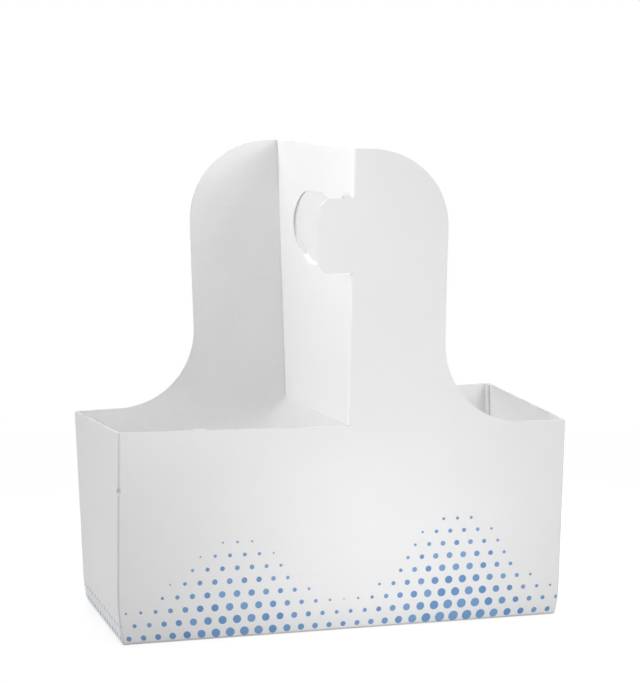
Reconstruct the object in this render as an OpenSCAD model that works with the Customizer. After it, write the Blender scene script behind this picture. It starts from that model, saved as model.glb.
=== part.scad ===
// Carrier for two cups, folded and glued from one die-cut sheet of white board.
// Origin at the middle of the base, on the table. Width along X, depth along Y, front at -Y.
// The form repeats itself when it is turned half a turn about the vertical.

/* [Box] */
// Outside width of the box, across both cups
box_w = 200; // [180:1:240]
// Outside depth of the box, from front to back
box_d = 95; // [86:1:110]
// Height of the walls around the cups
wall_h = 90; // [70:1:105]

/* [Board] */
// Thickness of the board
board_t = 0.6; // [0.4:0.05:0.8]
// Outside radius of the folds
fold_r = 1.4; // [1.2:0.1:2]
// Radius of the bead that a scored fold raises on its inner side
bead_r = 1; // [0.9:0.05:1.2]
// Width of a knife cut, and of the clearance at a free edge
cut_gap = 0.4; // [0.2:0.05:0.6]

/* [Handle] */
// Height of the handle's top above the table
handle_h = 210; // [195:1:240]
// Width of each half handle, from the divider to its outer edge
half_w = 43; // [40:0.5:55]
// Radius of the half handle's upper corner
crown_r = 36; // [20:0.5:38]
// Radius of the curve that runs from the half handle down to the wall's top edge
foot_r = 35.5; // [15:0.5:42]

/* [Hand hole] */
// Height of the hand hole
hole_h = 33; // [28:0.5:36]
// Board left above the hand hole
strap_h = 21; // [16:0.5:26]
// Board left in the divider at each end of the hand hole
hole_margin = 19.5; // [17:0.5:22]
// Radius of the tip of the hole's rounded ends
tip_r = 11; // [8:0.5:13]
// Length of the fold that the flap in the hole hangs from
hinge_len = 23; // [8:0.5:24]
// Angle at which the flap hangs open
flap_angle = 6; // [2:0.5:15]

/* [Tab] */
// Reach of the tab beyond the divider
tab_len = 15.2; // [8:0.1:18]
// Chamfer of the tab's two free corners
tab_chamfer = 3.6; // [2:0.1:6]

/* [Base] */
// Reach of the side flaps over the base
side_flap_len = 38; // [25:1:42]
// Distance of the lock seam from the middle of the base
seam_offset = 12; // [6:0.5:16]
// Reach of the lock ends past the seam
lock_len = 26; // [18:0.5:30]
// Chamfer of the lock ends' corners
lock_chamfer = 8; // [3:0.5:12]

/* [Side seam] */
// Width of the glue flap
glue_w = 15; // [10:0.5:20]
// Slope allowance at the ends of the glue flap
glue_slope = 4; // [2:0.5:6]

/* [Tool marks] */
// Height of the small nick in the front left fold
nick_z = 65; // [20:1:68]
// Radius of the nick
nick_r = 0.9; // [0.6:0.1:1.6]
// Length of the stub that a knife bridge leaves on the low wall's edge
stub_len = 4.5; // [2:0.5:6]
// Height of the stub
stub_h = 0.8; // [0.4:0.1:1.2]
// Distance of the stub from the divider
stub_x = 65.5; // [30:0.5:75]

/* [Hidden] */
$fn = 96;
// Overrun of the cuts
overrun = 3;
// Step by which a round stands proud of the face that it runs into, so that they cross
arc_step = 0.05;
// Share of the hand hole's length that each rounded end takes
end_share = 0.42;
// Share of a side flap's length by which each of its slanted sides draws in
mitre_share = 0.9;
// Depth of the flap's root under its fold, which takes in where the cut curves away
root_h = 1.8;
board_colour = [0.93, 0.93, 0.94];
fold_x = fold_r - board_t;
hole_z = handle_h - strap_h - hole_h / 2;
hole_len = box_d - 2 * hole_margin;
end_len = hole_len * end_share;
ply_len = box_d - board_t - cut_gap;
ply_z = wall_h + cut_gap;
floor_z = 2 * board_t;
lock_w = box_w / 2 - board_t - side_flap_len;

// Centred rectangle with rounded corners
module rounded_rect(w, d, r) {
    square([w - 2 * r, d], center = true);
    square([w, d - 2 * r], center = true);
    for (sx = [-1, 1], sy = [-1, 1])
        translate([sx * (w / 2 - r), sy * (d / 2 - r)])
            circle(r);
}

// Rectangle that stands on the X axis, with its two lower corners rounded
module tub_section(w, h, r) {
    translate([-w / 2 + r, 0])
        square([w - 2 * r, h]);
    translate([-w / 2, r])
        square([w, h - r]);
    for (sx = [-1, 1])
        translate([sx * (w / 2 - r), r])
            circle(r);
}

// Rectangle with its corner at the origin rounded
module turned_corner(w, d, r) {
    translate([r, 0])
        square([w - r, d]);
    translate([0, r])
        square([w, d - r]);
    translate([r, r])
        circle(r);
}

// Rectangle from the Y axis to the right, with its two right corners chamfered
module chamfered_end(len, h, chamfer) {
    polygon([
        [0, -h / 2],
        [len - chamfer, -h / 2],
        [len, -h / 2 + chamfer],
        [len, h / 2 - chamfer],
        [len - chamfer, h / 2],
        [0, h / 2]
    ]);
}

// Plate of one board in the plane of the front wall, from an outline in X and Z
module front_plate() {
    translate([0, board_t - box_d / 2, 0])
        rotate([90, 0, 0])
            linear_extrude(board_t)
                children();
}

// Plate across the width, from an outline in Y and Z, between two places along X
module cross_plate(x0, x1) {
    translate([x0, 0, 0])
        rotate([90, 0, 90])
            linear_extrude(x1 - x0)
                children();
}

// The form and its copy turned half a turn
module twice() {
    children();
    rotate(180)
        children();
}

// Solid with every fold of the box rounded, inset from its outside
module folded_block(inset, h) {
    w = box_w - 2 * inset;
    d = box_d - 2 * inset;
    r = fold_r - inset;
    translate([0, 0, inset])
        intersection() {
            linear_extrude(h)
                rounded_rect(w, d, r);
            rotate([90, 0, 0])
                linear_extrude(d, center = true)
                    tub_section(w, h, r);
            rotate([90, 0, 90])
                linear_extrude(w, center = true)
                    tub_section(d, h, r);
        }
}

// Walls and outer base in one folded skin
module box_skin() {
    difference() {
        folded_block(0, wall_h);
        folded_block(board_t, wall_h + overrun);
    }
}

// Beads along the inner sides of the four upright folds
module fold_beads() {
    for (sx = [-1, 1], sy = [-1, 1])
        translate([sx * (box_w / 2 - fold_r), sy * (box_d / 2 - fold_r), board_t / 2])
            cylinder(h = wall_h - board_t / 2, r = bead_r);
}

// Outline of the half handle, rooted in the front wall, with its crown and its foot
module half_handle_outline() {
    root_z = wall_h - overrun;
    crown_x = half_w - crown_r;
    translate([fold_x, root_z])
        square([half_w - fold_x, handle_h - crown_r - root_z]);
    translate([fold_x, root_z])
        square([crown_x - fold_x, handle_h - root_z]);
    intersection() {
        translate([crown_x, handle_h - crown_r])
            square(crown_r);
        translate([crown_x, handle_h - crown_r])
            circle(crown_r);
    }
    difference() {
        translate([half_w, root_z])
            square([foot_r, foot_r + overrun]);
        translate([half_w + foot_r, wall_h + foot_r])
            circle(foot_r);
    }
}

// Rounded end of the hand hole on three centres: its flanks leave the straight edges and run into its tip
module hole_end(inset) {
    half_h = hole_h / 2;
    apex = half_h + arc_step;
    core_r = tip_r - arc_step;
    reach = end_len - tip_r;
    flank_r = (reach * reach + apex * apex - core_r * core_r) / (2 * (apex - core_r));
    joint_x = reach * flank_r / (flank_r - core_r);
    translate([reach, 0])
        circle(tip_r - inset);
    intersection() {
        translate([0, apex - flank_r])
            circle(flank_r - inset);
        translate([0, flank_r - apex])
            circle(flank_r - inset);
        translate([0, inset - half_h])
            square([joint_x, hole_h - 2 * inset]);
    }
}

// Hand hole: its two rounded ends and what lies between them
module hand_hole(inset) {
    end_y = hole_len / 2 - end_len;
    square([2 * (end_y + arc_step), hole_h - 2 * inset], center = true);
    for (side = [0, 1])
        mirror([side, 0])
            translate([end_y, 0])
                hole_end(inset);
}

// Ply of the divider, turned back from the front half handle, with the slot that the tab came out of
module divider_ply() {
    difference() {
        translate([0, 0, ply_z])
            linear_extrude(handle_h - ply_z)
                intersection() {
                    difference() {
                        translate([-board_t, -box_d / 2])
                            turned_corner(half_w, ply_len, fold_r);
                        translate([0, board_t - box_d / 2])
                            turned_corner(half_w, box_d, fold_r - board_t);
                    }
                    translate([-board_t, -box_d / 2])
                        square([fold_r + board_t, box_d]);
                }
        cross_plate(-overrun, overrun) {
            translate([0, hole_z])
                hand_hole(0);
            translate([-box_d / 2, hole_z])
                chamfered_end(tab_len + cut_gap, hole_h, tab_chamfer);
        }
        translate([-overrun, -box_d / 2 - overrun, hole_z - hole_h / 2])
            cube([overrun + fold_x, overrun + fold_r, hole_h]);
    }
}

// Tab that stays in the plane of the front half handle, beside the hand hole
module tab() {
    front_plate()
        translate([fold_x + board_t, hole_z])
            mirror([1, 0])
                chamfered_end(tab_len + fold_x + board_t, hole_h - 2 * cut_gap, tab_chamfer);
}

// Flap of both plies that hangs from a rolled fold on the hand hole's upper edge, pushed open a little
module hole_flap() {
    translate([0, 0, hole_z + hole_h / 2])
        rotate([0, -flap_angle, 0]) {
            cross_plate(-board_t, board_t) {
                translate([0, -hole_h / 2])
                    hand_hole(cut_gap);
                translate([-hinge_len / 2, -root_h])
                    square([hinge_len, root_h]);
            }
            rotate([90, 0, 0])
                cylinder(h = hinge_len, r = board_t + arc_step, center = true);
        }
}

// Stub of a knife bridge on the top edge of the low half of the front wall
module edge_stub() {
    front_plate()
        translate([-stub_x - stub_len / 2, wall_h - stub_h])
            square([stub_len, 2 * stub_h]);
}

// Glue flap of the side seam, inside the left wall
module glue_flap() {
    root_y = box_d / 2 - fold_r;
    foot_z = floor_z + glue_slope;
    cross_plate((board_t - box_w) / 2, 2 * board_t - box_w / 2)
        polygon([
            [root_y, foot_z],
            [root_y, wall_h - cut_gap],
            [root_y - glue_w, wall_h - cut_gap - glue_slope],
            [root_y - glue_w, foot_z + glue_slope]
        ]);
}

// Seam between the two main base flaps: a step that each flap locks into
module lock_seam() {
    translate([0, seam_offset - cut_gap / 2, -overrun])
        cube([box_w / 2 - fold_r, cut_gap, overrun + board_t]);
    translate([-cut_gap / 2, 0, -overrun])
        cube([cut_gap, seam_offset + cut_gap / 2, overrun + board_t]);
}

// Side flap on the inside of the base
module side_flap() {
    root_x = box_w / 2 - board_t;
    root_y = box_d / 2 - fold_r;
    tip_y = root_y - side_flap_len * mitre_share;
    translate([0, 0, board_t / 2])
        linear_extrude(floor_z - board_t / 2)
            polygon([
                [root_x, -root_y],
                [root_x, root_y],
                [root_x - side_flap_len, tip_y],
                [root_x - side_flap_len, -tip_y]
            ]);
}

// End of a main base flap, tucked over the other one beyond the seam
module lock_end() {
    translate([lock_w / 2, seam_offset + 2 * board_t, board_t / 2])
        rotate(-90)
            linear_extrude(floor_z - board_t / 2)
                chamfered_end(lock_len + 2 * board_t, lock_w - 2 * cut_gap, lock_chamfer);
}

// Nick in the front left fold
module fold_nick() {
    translate([-box_w / 2, -box_d / 2, nick_z])
        rotate([0, 90, 45])
            cylinder(h = 2 * fold_r, r = nick_r, center = true);
}

// The folded carrier
module cup_carrier() {
    color(board_colour)
        difference() {
            union() {
                box_skin();
                fold_beads();
                twice() {
                    front_plate()
                        half_handle_outline();
                    divider_ply();
                    tab();
                    edge_stub();
                    side_flap();
                    lock_end();
                }
                hole_flap();
                glue_flap();
            }
            twice()
                lock_seam();
            fold_nick();
        }
}

cup_carrier();
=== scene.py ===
"""Studio view of a folded cup carrier.

The carrier is one sheet of white board, printed, creased, glued and stood on a pale floor.
"""

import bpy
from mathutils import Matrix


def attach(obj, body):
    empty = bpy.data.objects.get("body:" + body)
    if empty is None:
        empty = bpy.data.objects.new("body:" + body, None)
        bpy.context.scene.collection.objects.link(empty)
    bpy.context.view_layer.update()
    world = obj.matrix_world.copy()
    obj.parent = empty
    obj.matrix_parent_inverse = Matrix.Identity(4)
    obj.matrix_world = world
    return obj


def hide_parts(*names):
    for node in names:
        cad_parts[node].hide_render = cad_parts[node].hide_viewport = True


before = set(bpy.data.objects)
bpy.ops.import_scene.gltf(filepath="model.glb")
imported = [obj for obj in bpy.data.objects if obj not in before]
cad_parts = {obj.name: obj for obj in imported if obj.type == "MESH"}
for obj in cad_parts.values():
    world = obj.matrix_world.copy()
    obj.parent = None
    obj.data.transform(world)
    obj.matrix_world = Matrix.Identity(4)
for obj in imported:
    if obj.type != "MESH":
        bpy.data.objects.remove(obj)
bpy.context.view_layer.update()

import logging
from dataclasses import dataclass, field
from enum import Enum
from math import cos, pi, radians, sin
from typing import Any

import bmesh
import bpy
from mathutils import Matrix, Vector
from mathutils.bvhtree import BVHTree

LOG = logging.getLogger("cup_carrier")
NODE = "cup_carrier"
BODY = "root"
REST = "rest"
SHEET_UV = "sheet"
FINISH = "finish"
IMAGE_LONG_SIDE = 683
SENSOR = 36.0
NOISE_MEAN = 0.5
DIAGONAL = 0.5 ** 0.5
WHITE = (1.0, 1.0, 1.0, 1.0)
MIX_FIRST, MIX_SECOND, MIX_RESULT = 6, 7, 2
COMPARE_FIRST, COMPARE_SECOND = 2, 3
Colour = tuple[float, float, float, float]
Pair = tuple[float, float]
Place = tuple[float, float, float]


class Side(Enum):
    """Which side of the sheet a face belongs to; the value is kept on the face."""

    OUTER = 0
    INNER = 1
    CUT = 2


class Wire:
    """A socket that carries a number, with arithmetic that adds Math nodes."""

    def __init__(self, graph: "Graph", socket: bpy.types.NodeSocket) -> None:
        """Keeps the graph and the socket."""
        self.graph = graph
        self.socket = socket

    def __add__(self, other: "Number") -> "Wire":
        """Sum."""
        return self.graph.math("ADD", self, other)

    def __sub__(self, other: "Number") -> "Wire":
        """Difference."""
        return self.graph.math("SUBTRACT", self, other)

    def __rsub__(self, other: "Number") -> "Wire":
        """Difference from a number."""
        return self.graph.math("SUBTRACT", other, self)

    def __mul__(self, other: "Number") -> "Wire":
        """Product."""
        return self.graph.math("MULTIPLY", self, other)

    def __truediv__(self, other: "Number") -> "Wire":
        """Quotient."""
        return self.graph.math("DIVIDE", self, other)

    def __rtruediv__(self, other: "Number") -> "Wire":
        """Quotient of a number."""
        return self.graph.math("DIVIDE", other, self)

    def __pow__(self, other: "Number") -> "Wire":
        """Power."""
        return self.graph.math("POWER", self, other)

    def __mod__(self, other: "Number") -> "Wire":
        """Remainder that is never negative."""
        return self.graph.math("FLOORED_MODULO", self, other)

    def __neg__(self) -> "Wire":
        """Opposite."""
        return self.graph.math("MULTIPLY", self, -1.0)

    def __abs__(self) -> "Wire":
        """Size without sign."""
        return self.graph.math("ABSOLUTE", self)

    __radd__ = __add__
    __rmul__ = __mul__

    def floor(self) -> "Wire":
        """Whole number below."""
        return self.graph.math("FLOOR", self)

    def least(self, other: "Number") -> "Wire":
        """The lower of two."""
        return self.graph.math("MINIMUM", self, other)

    def most(self, other: "Number") -> "Wire":
        """The higher of two."""
        return self.graph.math("MAXIMUM", self, other)

    def ramp(self, low: "Number", high: "Number") -> "Wire":
        """Smooth step.

        Args:
            low: Value at which the step is 0.
            high: Value at which the step is 1; it may be below low.

        Returns:
            A number from 0 to 1.
        """
        sockets = {"Value": self, "From Min": low, "From Max": high}
        return self.graph.wire("ShaderNodeMapRange", {"interpolation_type": "SMOOTHSTEP"}, sockets)


Number = Wire | float


class Graph:
    """A node tree, with one way to add a node and short ways for the common ones."""

    def __init__(self, tree: bpy.types.NodeTree) -> None:
        """Empties the tree and keeps it."""
        tree.nodes.clear()
        self.tree = tree

    def feed(self, socket: bpy.types.NodeSocket, value: Any) -> None:
        """Gives a socket its value, or its link where the value is a Wire or another socket."""
        if isinstance(value, Wire):
            self.tree.links.new(value.socket, socket)
        elif isinstance(value, bpy.types.NodeSocket):
            self.tree.links.new(value, socket)
        else:
            socket.default_value = value

    def add(self, kind: str, settings: dict[str, Any], sockets: dict[str | int, Any]) -> bpy.types.Node:
        """Adds a node.

        Args:
            kind: The node's type.
            settings: Its properties, set first.
            sockets: Values or links of its inputs, by name or place.

        Returns:
            The new node.
        """
        node = self.tree.nodes.new(kind)
        for name, value in settings.items():
            setattr(node, name, value)
        for key, value in sockets.items():
            self.feed(node.inputs[key], value)
        return node

    def wire(self, kind: str, settings: dict[str, Any], sockets: dict[str | int, Any]) -> Wire:
        """Adds a node as add does, and wraps its first output."""
        return Wire(self, self.add(kind, settings, sockets).outputs[0])

    def math(self, operation: str, *values: Number) -> Wire:
        """Adds a Math node on one or two numbers."""
        return self.wire("ShaderNodeMath", {"operation": operation}, dict(enumerate(values)))

    def parts(self, vector: bpy.types.NodeSocket) -> tuple[Wire, Wire, Wire]:
        """Splits a vector into its three numbers."""
        node = self.add("ShaderNodeSeparateXYZ", {}, {0: vector})
        return Wire(self, node.outputs[0]), Wire(self, node.outputs[1]), Wire(self, node.outputs[2])

    def join(self, x: Number, y: Number, z: Number) -> bpy.types.NodeSocket:
        """Makes a vector of three numbers."""
        return self.add("ShaderNodeCombineXYZ", {}, {0: x, 1: y, 2: z}).outputs[0]

    def clouds(self, vector: bpy.types.NodeSocket, scale: Number, layers: float) -> bpy.types.Node:
        """Adds a noise texture.

        Args:
            vector: Where it is read.
            scale: Features for each metre.
            layers: Number of finer layers.

        Returns:
            The node, with a value and a three-part colour that are 0.5 on average.
        """
        sockets = {"Vector": vector, "Scale": scale, "Detail": layers}
        return self.add("ShaderNodeTexNoise", {"noise_dimensions": "3D"}, sockets)

    def noise(self, vector: bpy.types.NodeSocket, scale: Number, layers: float) -> Wire:
        """Adds a noise texture and wraps its value; the inputs are those of clouds."""
        return Wire(self, self.clouds(vector, scale, layers).outputs[0])

    def blend(self, share: Number, first: Any, second: Any) -> bpy.types.NodeSocket:
        """Mixes two colours; a share of 0 is the first."""
        sockets = {0: share, MIX_FIRST: first, MIX_SECOND: second}
        return self.add("ShaderNodeMix", {"data_type": "RGBA"}, sockets).outputs[MIX_RESULT]


def grey_scaled(colour: Colour, share: float) -> Colour:
    """Makes a colour darker or lighter.

    Args:
        colour: The colour.
        share: What its three parts are multiplied by.

    Returns:
        The new colour.
    """
    return (colour[0] * share, colour[1] * share, colour[2] * share, colour[3])


@dataclass(frozen=True)
class BoardSizes:
    """Sizes of the folded sheet that the model is dressed by, in metres."""

    width: float = 0.200
    depth: float = 0.095
    wall: float = 0.090
    top: float = 0.210
    fold: float = 0.0014

    def half_round(self) -> float:
        """Length of half the walk round the box, after which its form repeats."""
        return self.width + self.depth


@dataclass(frozen=True)
class PaperTexture:
    """The paper's texture: features for each metre, finer layers, and depth of relief in metres."""

    mottle: float = 55.0
    matted: float = 1500.0
    grain: float = 4200.0
    layers: float = 3.0
    grain_layers: float = 2.0
    drawn: Place = (1.0, 1.0, 0.35)
    depth: float = 0.0002


SIZES = BoardSizes()
TEXTURE = PaperTexture()


@dataclass(frozen=True)
class Surface:
    """What every side of the board has: its colour and shades, fibres, mottle, relief and feel."""

    colour: Colour
    shades: Pair
    mottle: float
    fibre: float
    roughness: float
    roughness_swing: float
    relief: Pair
    bump: float
    specular: float

    def start(self, name: str) -> tuple[bpy.types.Material, Graph, bpy.types.NodeSocket]:
        """Makes an empty material that reads the board's resting place.

        Args:
            name: The material's name.

        Returns:
            The material, its graph, and the place on the board as a vector.
        """
        material = bpy.data.materials.new(name)
        material.use_nodes = True
        graph = Graph(material.node_tree)
        place = graph.add("ShaderNodeAttribute", {"attribute_name": REST}, {}).outputs["Vector"]
        return material, graph, place

    def fibres(self, graph: Graph, place: bpy.types.NodeSocket) -> tuple[Wire, Wire, Wire]:
        """Adds the paper's own texture.

        Args:
            graph: The material's graph.
            place: Where the texture is read.

        Returns:
            How pale the board is from 0 to 1, its matted fibres and its fine grain.
        """
        slow = graph.noise(place, TEXTURE.mottle, TEXTURE.layers)
        drawn = graph.add("ShaderNodeMapping", {}, {"Vector": place, "Scale": TEXTURE.drawn}).outputs[0]
        matted = graph.noise(drawn, TEXTURE.matted, TEXTURE.layers)
        grain = graph.noise(place, TEXTURE.grain, TEXTURE.grain_layers)
        share = (slow - NOISE_MEAN) * self.mottle + (matted - NOISE_MEAN) * self.fibre + NOISE_MEAN
        return share.ramp(0.0, 1.0), matted, grain

    def feel(self, noise: Wire) -> Wire:
        """Gives the roughness, changed a little by a noise."""
        return (noise - NOISE_MEAN) * self.roughness_swing + self.roughness

    def height(self, matted: Wire, grain: Wire) -> Wire:
        """Gives the relief of the fibres and the grain."""
        return matted * self.relief[0] + grain * self.relief[1]

    def close(self, graph: Graph, colour: Any, rough: Number, height: Wire) -> None:
        """Adds the shader.

        Args:
            graph: The material's graph.
            colour: Base colour, plain or linked.
            rough: Roughness, plain or linked.
            height: Relief, about 0 to 1.
        """
        sockets = {"Strength": self.bump, "Distance": TEXTURE.depth, "Height": height}
        normal = graph.add("ShaderNodeBump", {}, sockets).outputs[0]
        sockets = {
            "Base Color": colour,
            "Roughness": rough,
            "Normal": normal,
            "Specular IOR Level": self.specular,
        }
        shader = graph.add("ShaderNodeBsdfPrincipled", {}, sockets).outputs[0]
        graph.add("ShaderNodeOutputMaterial", {}, {"Surface": shader})


@dataclass(frozen=True)
class PlainBoard(Surface):
    """Uncoated inner side of the board, with open fibres."""

    def material(self) -> bpy.types.Material:
        """Builds the material."""
        material, graph, place = self.start("board_inside")
        share, matted, grain = self.fibres(graph, place)
        darker, paler = (grey_scaled(self.colour, shade) for shade in self.shades)
        self.close(graph, graph.blend(share, darker, paler), self.feel(matted), self.height(matted, grain))
        return material


@dataclass(frozen=True)
class CutBoard(Surface):
    """Raw cut edge of the board, with torn fibres; a darker grey at the walls is painted shade, and a paler
    grey at the divider is painted light on the shaded rim of the hand hole.
    """

    # painted light: a paler copy of the cut edge's colour at the divider
    painted_light_edge: Colour = (0.86, 0.857, 0.85, 1.0)
    painted_light_shades: Pair = (0.92, 1.04)
    painted_light_reach: float = 0.017
    painted_light_fade: float = 1.2
    seam: float = 0.00006
    seam_band: Pair = (2.0, 0.5)
    seam_shade: float = 0.6

    def material(self) -> bpy.types.Material:
        """Builds the material."""
        material, graph, place = self.start("board_cut_edge")
        share, matted, grain = self.fibres(graph, place)
        across = abs(graph.parts(place)[0])
        between = across.ramp(self.seam * self.seam_band[0], self.seam * self.seam_band[1])
        # the cut edge is a shaded copy at the walls and a lit copy at the divider: painted shade and painted
        # light
        middle = across.ramp(self.painted_light_reach * self.painted_light_fade, self.painted_light_reach)
        darker, paler = (
            graph.blend(middle, grey_scaled(self.colour, shade_and_wear), grey_scaled(self.painted_light_edge, painted_light_edge))
            for shade_and_wear, painted_light_edge in zip(self.shades, self.painted_light_shades)
        )
        bare = graph.blend(share, darker, paler)
        colour = graph.blend(between, bare, grey_scaled(self.colour, self.seam_shade))
        self.close(graph, colour, self.feel(grain), self.height(matted, grain) - between)
        return material


@dataclass(frozen=True)
class DotPrint:
    """Two hills of round dots along the foot of the walls.

    The rows are staggered. The dots are largest at the foot of a hill and end at its outline.
    """

    columns: int = 46
    row_angle: float = radians(60)
    deep: Colour = (0.105, 0.262, 0.560, 1.0)
    light: Colour = (0.190, 0.370, 0.640, 1.0)
    low: float = 0.014
    high: float = 0.056
    hills: int = 2
    first_hill: float = 0.6
    largest: float = 0.38
    smallest: float = 0.07
    weakest: float = 0.4
    thinning: float = 0.8
    crest: float = 0.98
    softness: float = 0.00012

    def pitch(self) -> float:
        """Distance between dots, so that the field closes on itself round the box."""
        return SIZES.half_round() / self.columns

    def ink(self, graph: Graph) -> tuple[Wire, Wire]:
        """Adds the pattern.

        Args:
            graph: The material's graph.

        Returns:
            Where there is ink, and a number from 0 to 1 that changes from dot to dot.
        """
        half = 0.5
        pitch = self.pitch()
        rise = pitch * sin(self.row_angle)
        sheet = graph.add("ShaderNodeUVMap", {"uv_map": SHEET_UV}, {}).outputs[0]
        along, up, _ = graph.parts(sheet)
        row = (up / rise).floor()
        shifted = along / pitch + (row % 2.0) * half
        column = shifted.floor()
        walk = (along % SIZES.half_round()).least(SIZES.width)
        climb = half - graph.math("COSINE", walk * (2 * pi * self.hills / SIZES.width)) * half
        climb = climb * (walk / SIZES.width * (1.0 - self.first_hill) + self.first_hill)
        top = climb * (self.high - self.low) + self.low
        level = (row + half) * rise / top
        fullness = (1.0 - level).most(0.0) ** self.thinning
        vigour = climb * (1.0 - self.weakest) + self.weakest
        radius = (fullness * (self.largest - self.smallest) * vigour + self.smallest) * pitch
        off_x = (shifted - column - half) * pitch
        off_y = (up / rise - row - half) * rise
        away = (off_x * off_x + off_y * off_y) ** 0.5
        inside = (away - radius).ramp(self.softness, -self.softness) * level.ramp(1.0, self.crest)
        cell = graph.join(column % float(self.columns), row, 0.0)
        change = graph.wire("ShaderNodeTexWhiteNoise", {"noise_dimensions": "3D"}, {"Vector": cell})
        return inside, change


@dataclass(frozen=True)
class PrintedBoard(Surface):
    """Clay-coated outer side of the board, with dots printed on it, cracked coating and painted shade on the
    score lines of the upright folds, and a painted highlight on the folds of the divider.

    A band is a share of the fold's radius at which a mask is 0, and one at which it is 1.
    """

    dots: DotPrint = field(default_factory=DotPrint)
    # painted shade: the colour of the score lines on the upright folds is darkened
    painted_crease_shade: float = 0.80
    crease_band: Pair = (0.3, 0.7)
    # this noise breaks up both the painted shade and the cracked coating on the score lines
    shade_and_wear_scale: float = 900.0
    shade_and_wear_layers: float = 4.0
    shade_and_wear_swing: float = 0.4
    shade_and_wear_least: float = 0.7
    wear_rough: float = 0.2
    wear_depth: float = 0.5
    # painted highlight: a paler colour on the folds of the divider
    painted_fold_highlight: Colour = (0.965, 0.965, 0.968, 1.0)
    arc_start: Pair = (0.0, 0.3)
    arc_end: Pair = (1.0, 0.85)
    arc_side: Pair = (1.0, 0.7)
    ink_breaks: Pair = (0.18, 0.3)
    ink_cover: float = 0.96
    ink_gloss: float = 0.05
    ink_height: float = 0.08

    @staticmethod
    def fold_band(distance: Wire, band: Pair) -> Wire:
        """Makes a mask from a distance and a band of the fold."""
        return distance.ramp(SIZES.fold * band[0], SIZES.fold * band[1])

    def folds(self, graph: Graph, place: bpy.types.NodeSocket) -> tuple[Wire, Wire]:
        """Finds the folds on the outside.

        Args:
            graph: The material's graph.
            place: Where on the board.

        Returns:
            1 on the score line of an upright fold of the box, where the coating is cracked and shade is
            painted, and 1 on a fold of the divider, where a highlight is painted.
        """
        x, y, _ = graph.parts(place)
        in_x = abs(x) - (SIZES.width / 2 - SIZES.fold)
        in_y = abs(y) - (SIZES.depth / 2 - SIZES.fold)
        crease = self.fold_band(in_x.least(in_y), self.crease_band)
        on_arc = self.fold_band(in_y, self.arc_start) * self.fold_band(in_y, self.arc_end)
        return crease, self.fold_band(abs(x), self.arc_side) * on_arc

    def material(self) -> bpy.types.Material:
        """Builds the material."""
        material, graph, place = self.start("board_printed_side")
        share, matted, grain = self.fibres(graph, place)
        darker, paler = (grey_scaled(self.colour, shade) for shade in self.shades)
        crease, fold_highlight = self.folds(graph, place)
        crack_and_shade_noise = graph.noise(place, self.shade_and_wear_scale, self.shade_and_wear_layers)
        # the mask darkens the colour as painted shade, and roughens and sinks the coating where it is
        # cracked
        shade_and_wear = crease * (crack_and_shade_noise * self.shade_and_wear_swing + self.shade_and_wear_least)
        ink, change = self.dots.ink(graph)
        ink = ink * matted.ramp(*self.ink_breaks) * (1.0 - shade_and_wear)
        tint = graph.blend(change, self.dots.deep, self.dots.light)
        colour = graph.blend(ink * self.ink_cover, graph.blend(share, darker, paler), tint)
        # painted shade on the score lines of the upright folds
        colour = graph.blend(shade_and_wear, colour, grey_scaled(self.colour, self.painted_crease_shade))
        # painted highlight on the folds of the divider
        colour = graph.blend(fold_highlight, colour, self.painted_fold_highlight)
        rough = self.feel(matted) - ink * self.ink_gloss + shade_and_wear * self.wear_rough
        height = self.height(matted, grain) + ink * self.ink_height - shade_and_wear * self.wear_depth
        self.close(graph, colour, rough, height)
        return material


def seen_directly(graph: Graph) -> Wire:
    """Finds what the camera sees, also by gloss or through glass.

    Args:
        graph: The graph of a floor or world.

    Returns:
        1 for such a ray, and 0 for one that only lights.
    """
    node = graph.add("ShaderNodeLightPath", {}, {})
    camera, glossy, clear = (
        Wire(graph, node.outputs[name]) for name in ("Is Camera Ray", "Is Glossy Ray", "Is Transmission Ray")
    )
    return (camera + glossy + clear).least(1.0)


@dataclass(frozen=True)
class FloorPaper:
    """Pale studio floor that turns into the white background away from the carrier."""

    colour: Colour = (0.45, 0.45, 0.45, 1.0)
    veil: Colour = (0.24, 0.24, 0.24, 1.0)
    glow: float = 0.78
    near: float = 0.22
    far: float = 0.60

    def material(self) -> bpy.types.Material:
        """Builds the material."""
        material = bpy.data.materials.new("studio_floor")
        material.use_nodes = True
        graph = Graph(material.node_tree)
        place = graph.add("ShaderNodeTexCoord", {}, {}).outputs["Object"]
        x, y, _ = graph.parts(place)
        fade = ((x * x + y * y) ** 0.5).ramp(self.near, self.far)
        white = graph.add("ShaderNodeEmission", {}, {"Strength": 1.0}).outputs[0]
        glow = graph.add("ShaderNodeEmission", {}, {"Strength": self.glow}).outputs[0]
        veil = graph.add("ShaderNodeBsdfDiffuse", {}, {"Color": self.veil}).outputs[0]
        shadowed = graph.add("ShaderNodeAddShader", {}, {0: glow, 1: veil}).outputs[0]
        shown = graph.add("ShaderNodeMixShader", {}, {0: fade, 1: shadowed, 2: white}).outputs[0]
        lit = graph.add("ShaderNodeBsdfDiffuse", {}, {"Color": self.colour}).outputs[0]
        both = graph.add("ShaderNodeMixShader", {}, {0: seen_directly(graph), 1: lit, 2: shown}).outputs[0]
        graph.add("ShaderNodeOutputMaterial", {}, {"Surface": both})
        return material


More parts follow.
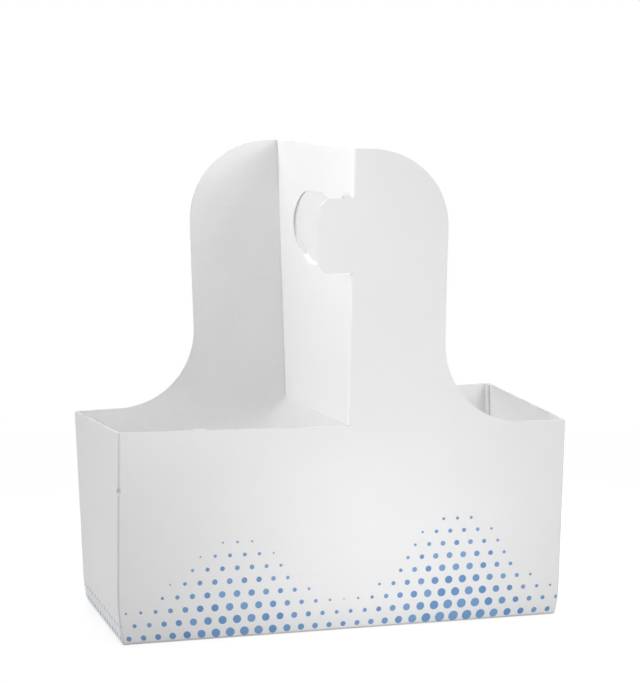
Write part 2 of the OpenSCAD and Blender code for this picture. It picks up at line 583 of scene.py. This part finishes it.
@dataclass(frozen=True)
class Settle:
    """How the carton stands out of true: twisted, flared, swollen, waved, curled and drawn in at the foot.

    Sizes are in metres, twists are slopes, and a limit is a share of the half width, half depth or wall.
    """

    lean: float = 0.0265
    lift: float = 0.0211
    pivot: float = 0.0695
    flare: float = 0.0007
    swell: float = 0.0014
    swell_x: Pair = (0.3, 1.0)
    swell_y: Pair = (0.6, -1.0)
    swell_z: Pair = (0.0, 0.25)
    wave: float = 0.0009
    wave_scale: float = 9.0
    wave_layers: float = 1.0
    curl: float = 8.75
    curl_start: float = 0.148
    curl_y: Pair = (-0.9, -0.95)
    curl_z: Pair = (0.99, 1.0)
    tuck: float = 0.0012
    tuck_height: float = 0.012

    def inputs(self) -> dict[str, float]:
        """Gives the named numbers of the tree that sets the sheet as it stands."""
        return {
            "Half Width": SIZES.width / 2,
            "Half Depth": SIZES.depth / 2,
            "Wall": SIZES.wall,
            "Lean": self.lean,
            "Lift": self.lift,
            "Pivot": self.pivot,
            "Flare": self.flare,
            "Swell": self.swell,
            "Wave": self.wave,
            "Wave Scale": self.wave_scale,
            "Curl": self.curl,
            "Curl Start": self.curl_start,
            "Tuck": self.tuck,
            "Tuck Height": self.tuck_height,
        }

    def shift(self, graph: Graph, value: dict[str, Wire]) -> bpy.types.NodeSocket:
        """Adds what moves each point of the sheet.

        Args:
            graph: The graph of the tree.
            value: The tree's named numbers.

        Returns:
            The offset as a vector.
        """
        place = graph.add("GeometryNodeInputPosition", {}, {}).outputs[0]
        x, y, z = graph.parts(place)
        across = x / value["Half Width"]
        back = y / value["Half Depth"]
        height = (z / value["Wall"]).least(1.0).most(0.0)
        grounded = height.ramp(0.0, 1.0)
        lean = -(back * (z - value["Pivot"]) * value["Lean"])
        flare = across * height * value["Flare"]
        lift = x * back * grounded * value["Lift"]
        corner = (-across).ramp(*self.swell_x) * back.ramp(*self.swell_y)
        swell = -(corner * height.ramp(*self.swell_z) * value["Swell"])
        cloud = graph.clouds(place, value["Wave Scale"], self.wave_layers).outputs[1]
        wave_x, wave_y = (
            (part - NOISE_MEAN) * value["Wave"] * grounded for part in graph.parts(cloud)[:2]
        )
        beyond = ((x + z) * DIAGONAL - value["Curl Start"]).most(0.0)
        curl = -(beyond * beyond * value["Curl"]) * back.ramp(*self.curl_y) * height.ramp(*self.curl_z)
        foot = (1.0 - z / value["Tuck Height"]).most(0.0)
        tuck = -(foot * foot * value["Tuck"])
        return graph.join(lean + flare + swell + wave_x + tuck * across, wave_y + curl + tuck * back, lift)


@dataclass
class FoldedSheet:
    """The carrier itself: one sheet, cut to a lattice so that it bends, and set as it stands."""

    lattice: float = 0.004
    lattice_shift: float = 0.00137
    cut_reach: float = 1e-7
    merge: float = 1e-6
    probe: float = 1e-5
    flat_angle: float = radians(0.4)
    smooth_angle: float = radians(42)
    deepest_ply: float = 0.003
    divider_reach: float = 0.006
    facing: float = 0.5
    rim: float = 0.002
    settle: Settle = field(default_factory=Settle)
    outside: PrintedBoard = PrintedBoard(
        colour=(0.895, 0.895, 0.902, 1.0),
        shades=(0.96, 1.035),
        mottle=0.25,
        fibre=0.25,
        roughness=0.48,
        roughness_swing=0.12,
        relief=(0.35, 0.25),
        bump=0.05,
        specular=0.35,
    )
    inside: PlainBoard = PlainBoard(
        colour=(0.890, 0.889, 0.890, 1.0),
        shades=(0.94, 1.05),
        mottle=0.3,
        fibre=0.45,
        roughness=0.72,
        roughness_swing=0.12,
        relief=(0.6, 0.4),
        bump=0.08,
        specular=0.25,
    )
    edge: CutBoard = CutBoard(
        # the darker grey of the cut edge at the walls is painted shade
        colour=(0.64, 0.632, 0.625, 1.0),
        shades=(0.88, 1.06),
        mottle=0.6,
        fibre=1.6,
        roughness=0.86,
        roughness_swing=0.12,
        relief=(0.7, 0.3),
        bump=0.4,
        specular=0.15,
    )

    def lattice_cut(self, bm: bmesh.types.BMesh) -> None:
        """Cuts the sheet by a regular lattice of planes, so that it can bend.

        Args:
            bm: The merged sheet.
        """
        for axis, low, high in (
            (0, -SIZES.width / 2, SIZES.width / 2),
            (1, -SIZES.depth / 2, SIZES.depth / 2),
            (2, 0.0, SIZES.top),
        ):
            normal = Vector((0.0, 0.0, 0.0))
            normal[axis] = 1.0
            at = low + self.lattice_shift + self.lattice / 2
            while at < high - self.rim:
                whole = bm.verts[:] + bm.edges[:] + bm.faces[:]
                bmesh.ops.bisect_plane(
                    bm, geom=whole, plane_co=normal * at, plane_no=normal, dist=self.cut_reach
                )
                at += self.lattice

    def side_of(self, face: bmesh.types.BMFace, tree: BVHTree) -> Side:
        """Tells which side of the sheet a face is.

        Args:
            face: The face, at rest.
            tree: The whole sheet, to measure its thickness under the face.

        Returns:
            The side.
        """
        middle = face.calc_center_median()
        normal = face.normal
        hit = tree.ray_cast(middle - normal * self.probe, -normal)
        if hit[0] is None or hit[3] > self.deepest_ply:
            return Side.CUT
        on_divider = SIZES.wall < middle.z and abs(middle.x) < self.divider_reach
        if on_divider and abs(normal.x) > self.facing:
            return Side.OUTER
        outward = 0.0
        if SIZES.width / 2 - abs(middle.x) < self.rim:
            outward += normal.x * (1.0 if middle.x > 0 else -1.0)
        if SIZES.depth / 2 - abs(middle.y) < self.rim:
            outward += normal.y * (1.0 if middle.y > 0 else -1.0)
        if middle.z < self.rim:
            outward -= normal.z
        return Side.OUTER if outward > 0 else Side.INNER

    def sheet_place(self, point: Vector, normal: Vector) -> tuple[float, float]:
        """Lays a point of a wall out on the flat sheet.

        Args:
            point: The point, at rest.
            normal: Normal of its face.

        Returns:
            How far round the box from the front left fold, and how high.
        """
        width, depth = SIZES.width, SIZES.depth
        if abs(normal.y) >= abs(normal.x):
            along = point.x + width / 2 if normal.y < 0 else width + depth + width / 2 - point.x
        else:
            along = width + point.y + depth / 2 if normal.x > 0 else 2 * width + depth + depth / 2 - point.y
        return along, point.z

    def flat_mesh(self) -> bpy.types.Mesh:
        """Makes the bendable sheet, true to the drawing.

        Returns:
            A closed mesh with its sides, its resting place and its flat layout kept on it.
        """
        bm = bmesh.new()
        bm.from_mesh(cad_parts[NODE].data)
        bmesh.ops.remove_doubles(bm, verts=bm.verts[:], dist=self.merge)
        bmesh.ops.dissolve_limit(bm, angle_limit=self.flat_angle, verts=bm.verts[:], edges=bm.edges[:])
        self.lattice_cut(bm)
        bm.normal_update()
        rest = bm.verts.layers.float_vector.new(REST)
        side = bm.faces.layers.int.new(FINISH)
        layout = bm.loops.layers.uv.new(SHEET_UV)
        tree = BVHTree.FromBMesh(bm)
        for vert in bm.verts:
            vert[rest] = vert.co
        for face in bm.faces:
            face[side] = self.side_of(face, tree).value
            for loop in face.loops:
                loop[layout].uv = self.sheet_place(loop.vert.co, face.normal)
        open_edges = sum(1 for edge in bm.edges if len(edge.link_faces) != 2)
        LOG.info("sheet: %d faces, %d edges not closed", len(bm.faces), open_edges)
        mesh = bpy.data.meshes.new("carrier_sheet")
        bm.to_mesh(mesh)
        bm.free()
        mesh.shade_smooth()
        mesh.set_sharp_from_angle(angle=self.smooth_angle)
        return mesh

    def settle_tree(self) -> tuple[bpy.types.GeometryNodeTree, dict[str, str]]:
        """Builds the tree that sets the sheet as it stands.

        Returns:
            The tree, and the identifier of each of its named inputs.
        """
        tree = bpy.data.node_groups.new("carton_as_it_stands", "GeometryNodeTree")
        numbers = tuple(self.settle.inputs())
        finishes = {Side.OUTER: "Outside", Side.INNER: "Inside", Side.CUT: "Cut Edge"}
        kinds = {"Geometry": "NodeSocketGeometry"}
        kinds |= dict.fromkeys(numbers, "NodeSocketFloat")
        kinds |= dict.fromkeys(finishes.values(), "NodeSocketMaterial")
        names = {
            name: tree.interface.new_socket(name=name, in_out="INPUT", socket_type=kind).identifier
            for name, kind in kinds.items()
        }
        tree.interface.new_socket(name="Geometry", in_out="OUTPUT", socket_type="NodeSocketGeometry")
        graph = Graph(tree)
        given = graph.add("NodeGroupInput", {}, {}).outputs
        shift = self.settle.shift(graph, {name: Wire(graph, given[name]) for name in numbers})
        sockets = {"Geometry": given["Geometry"], "Offset": shift}
        shape = graph.add("GeometryNodeSetPosition", {}, sockets).outputs[0]
        shape = graph.add("GeometryNodeRealizeInstances", {}, {0: shape}).outputs[0]
        kept = graph.add("GeometryNodeInputNamedAttribute", {"data_type": "INT"}, {"Name": FINISH})
        for side, name in finishes.items():
            sockets = {COMPARE_FIRST: kept.outputs[0], COMPARE_SECOND: side.value}
            equal = graph.add("FunctionNodeCompare", {"data_type": "INT", "operation": "EQUAL"}, sockets)
            sockets = {"Geometry": shape, "Selection": equal.outputs[0], "Material": given[name]}
            shape = graph.add("GeometryNodeSetMaterial", {}, sockets).outputs[0]
        graph.add("NodeGroupOutput", {}, {0: shape})
        return tree, names

    def build(self) -> bpy.types.Object:
        """Makes the piece.

        Returns:
            The dressed carrier, riding on the frame in place of the plain solid.
        """
        piece = bpy.data.objects.new("carrier_board", self.flat_mesh())
        bpy.context.scene.collection.objects.link(piece)
        finishes = {
            "Outside": self.outside.material(),
            "Inside": self.inside.material(),
            "Cut Edge": self.edge.material(),
        }
        for finish in finishes.values():
            piece.data.materials.append(finish)
        tree, names = self.settle_tree()
        modifier = piece.modifiers.new("as_it_stands", "NODES")
        modifier.node_group = tree
        for name, value in (self.settle.inputs() | finishes).items():
            modifier[names[name]] = value
        flats = piece.modifiers.new("true_flats", "WEIGHTED_NORMAL")
        flats.keep_sharp = True
        graph = bpy.context.evaluated_depsgraph_get()
        shaped = piece.evaluated_get(graph)
        mesh = bpy.data.meshes.new_from_object(shaped, preserve_all_data_layers=True, depsgraph=graph)
        piece.modifiers.clear()
        flat = piece.data
        piece.data = mesh
        bpy.data.meshes.remove(flat)
        mesh.name = "carrier_board"
        bpy.context.view_layer.update()
        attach(piece, BODY)
        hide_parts(NODE)
        return piece


@dataclass(frozen=True)
class SoftLamp:
    """One soft lamp: its place and target, its width and height in metres, and its power in watts."""

    name: str
    place: Place
    target: Place
    wide: float
    tall: float
    power: float

    def build(self) -> bpy.types.Object:
        """Makes the lamp."""
        light = bpy.data.lights.new(self.name, "AREA")
        light.shape = "ELLIPSE"
        light.size = self.wide
        light.size_y = self.tall
        light.energy = self.power
        lamp = bpy.data.objects.new(self.name, light)
        lamp.location = self.place
        lamp.visible_camera = False
        lamp.rotation_euler = (Vector(self.target) - Vector(self.place)).to_track_quat("-Z", "Y").to_euler()
        bpy.context.scene.collection.objects.link(lamp)
        return lamp


LAMPS = (
    SoftLamp("high_front_strip", (0.035, -0.21, 0.2), (0.035, 0.0, 0.2), 0.05, 0.1, 0.051),
    SoftLamp("low_front_strip", (0.02, -0.17, 0.03), (0.02, 0.0, 0.03), 0.06, 0.05, 0.042),
    SoftLamp("foot_strip", (0.02, -0.4, 0.02), (0.02, 0.0, 0.03), 0.3, 0.04, 0.062),
    SoftLamp("left_strip", (-0.1, -0.1, 0.26), (0.0, -0.04, 0.16), 0.03, 0.2, 0.011),
    SoftLamp("low_left_strip", (-0.1, -0.1, 0.18), (0.0, -0.04, 0.12), 0.03, 0.16, 0.031),
    SoftLamp("left_box", (-1.3, -0.2, 0.5), (0.0, 0.0, 0.1), 0.8, 0.8, 7.26),
    SoftLamp("top_left_box", (-0.15, 0.0, 0.6), (0.0, 0.0, 0.14), 0.25, 0.25, 0.91),
    SoftLamp("back_left_box", (-0.15, 0.15, 0.45), (0.0, 0.0, 0.15), 0.2, 0.2, 0.48),
    SoftLamp("right_box", (1.3, -0.3, 0.5), (0.0, 0.0, 0.1), 0.8, 0.8, 1.75),
    SoftLamp("high_right_box", (0.6, -0.6, 0.6), (0.03, 0.0, 0.1), 0.9, 0.9, 4.41),
    SoftLamp("near_right_box", (0.25, -0.02, 0.35), (0.05, 0.04, 0.06), 0.12, 0.12, 0.38),
    SoftLamp("back_box", (0.3, 1.4, 0.9), (0.0, 0.0, 0.1), 0.8, 0.8, 10.1),
)


@dataclass
class Studio:
    """Camera, lamps, floor and world."""

    eye: Place = (-0.33448, -1.12865, 0.26540)
    azimuth: float = radians(-16.588)
    elevation: float = radians(6.971)
    roll: float = radians(-0.289)
    focal_pixels: float = 2643.0
    ambient: Colour = (0.04, 0.04, 0.04, 1.0)
    floor_reach: float = 3.0
    floor_drop: float = 0.0001
    floor_corners: int = 96
    lamps: tuple[SoftLamp, ...] = LAMPS
    paper: FloorPaper = field(default_factory=FloorPaper)

    def camera(self) -> bpy.types.Object:
        """Makes the camera at the photograph's viewing angle."""
        look = Vector((
            -sin(self.azimuth) * cos(self.elevation),
            cos(self.azimuth) * cos(self.elevation),
            -sin(self.elevation),
        ))
        level = Vector((cos(self.azimuth), sin(self.azimuth), 0.0))
        upright = level.cross(look)
        right = level * cos(self.roll) + upright * sin(self.roll)
        up = upright * cos(self.roll) - level * sin(self.roll)
        data = bpy.data.cameras.new("studio_camera")
        data.sensor_width = SENSOR
        data.lens = self.focal_pixels * SENSOR / IMAGE_LONG_SIDE
        camera = bpy.data.objects.new("studio_camera", data)
        turn = Matrix((right, up, -look)).transposed().to_4x4()
        camera.matrix_world = Matrix.Translation(self.eye) @ turn
        bpy.context.scene.collection.objects.link(camera)
        bpy.context.scene.camera = camera
        return camera

    def floor(self) -> bpy.types.Object:
        """Makes the floor, a hair below the carrier's base."""
        mesh = bpy.data.meshes.new("studio_floor")
        bm = bmesh.new()
        bmesh.ops.create_circle(bm, cap_ends=True, segments=self.floor_corners, radius=self.floor_reach)
        bm.to_mesh(mesh)
        bm.free()
        mesh.materials.append(self.paper.material())
        floor = bpy.data.objects.new("studio_floor", mesh)
        floor.location.z = -self.floor_drop
        bpy.context.scene.collection.objects.link(floor)
        return floor

    def world(self) -> bpy.types.World:
        """Makes the world: white to the eye, a soft grey as light."""
        world = bpy.data.worlds.new("studio_world")
        world.use_nodes = True
        graph = Graph(world.node_tree)
        soft, white = (
            graph.add("ShaderNodeBackground", {}, {"Color": colour, "Strength": 1.0}).outputs[0]
            for colour in (self.ambient, WHITE)
        )
        both = graph.add("ShaderNodeMixShader", {}, {0: seen_directly(graph), 1: soft, 2: white}).outputs[0]
        graph.add("ShaderNodeOutputWorld", {}, {"Surface": both})
        bpy.context.scene.world = world
        return world

    def build(self) -> None:
        """Sets up the whole studio."""
        bpy.context.scene.view_settings.view_transform = "Standard"
        self.camera()
        self.floor()
        self.world()
        for lamp in self.lamps:
            lamp.build()


def main() -> None:
    """Builds the studio and the carrier."""
    logging.basicConfig(level=logging.INFO, format="%(name)s: %(message)s")
    Studio().build()
    LOG.info("studio: camera, floor, world and %d lamps", len(LAMPS))
    piece = FoldedSheet().build()
    LOG.info("%s: %d faces, %d materials", piece.name, len(piece.data.polygons), len(piece.data.materials))


if __name__ == "__main__":
    main()
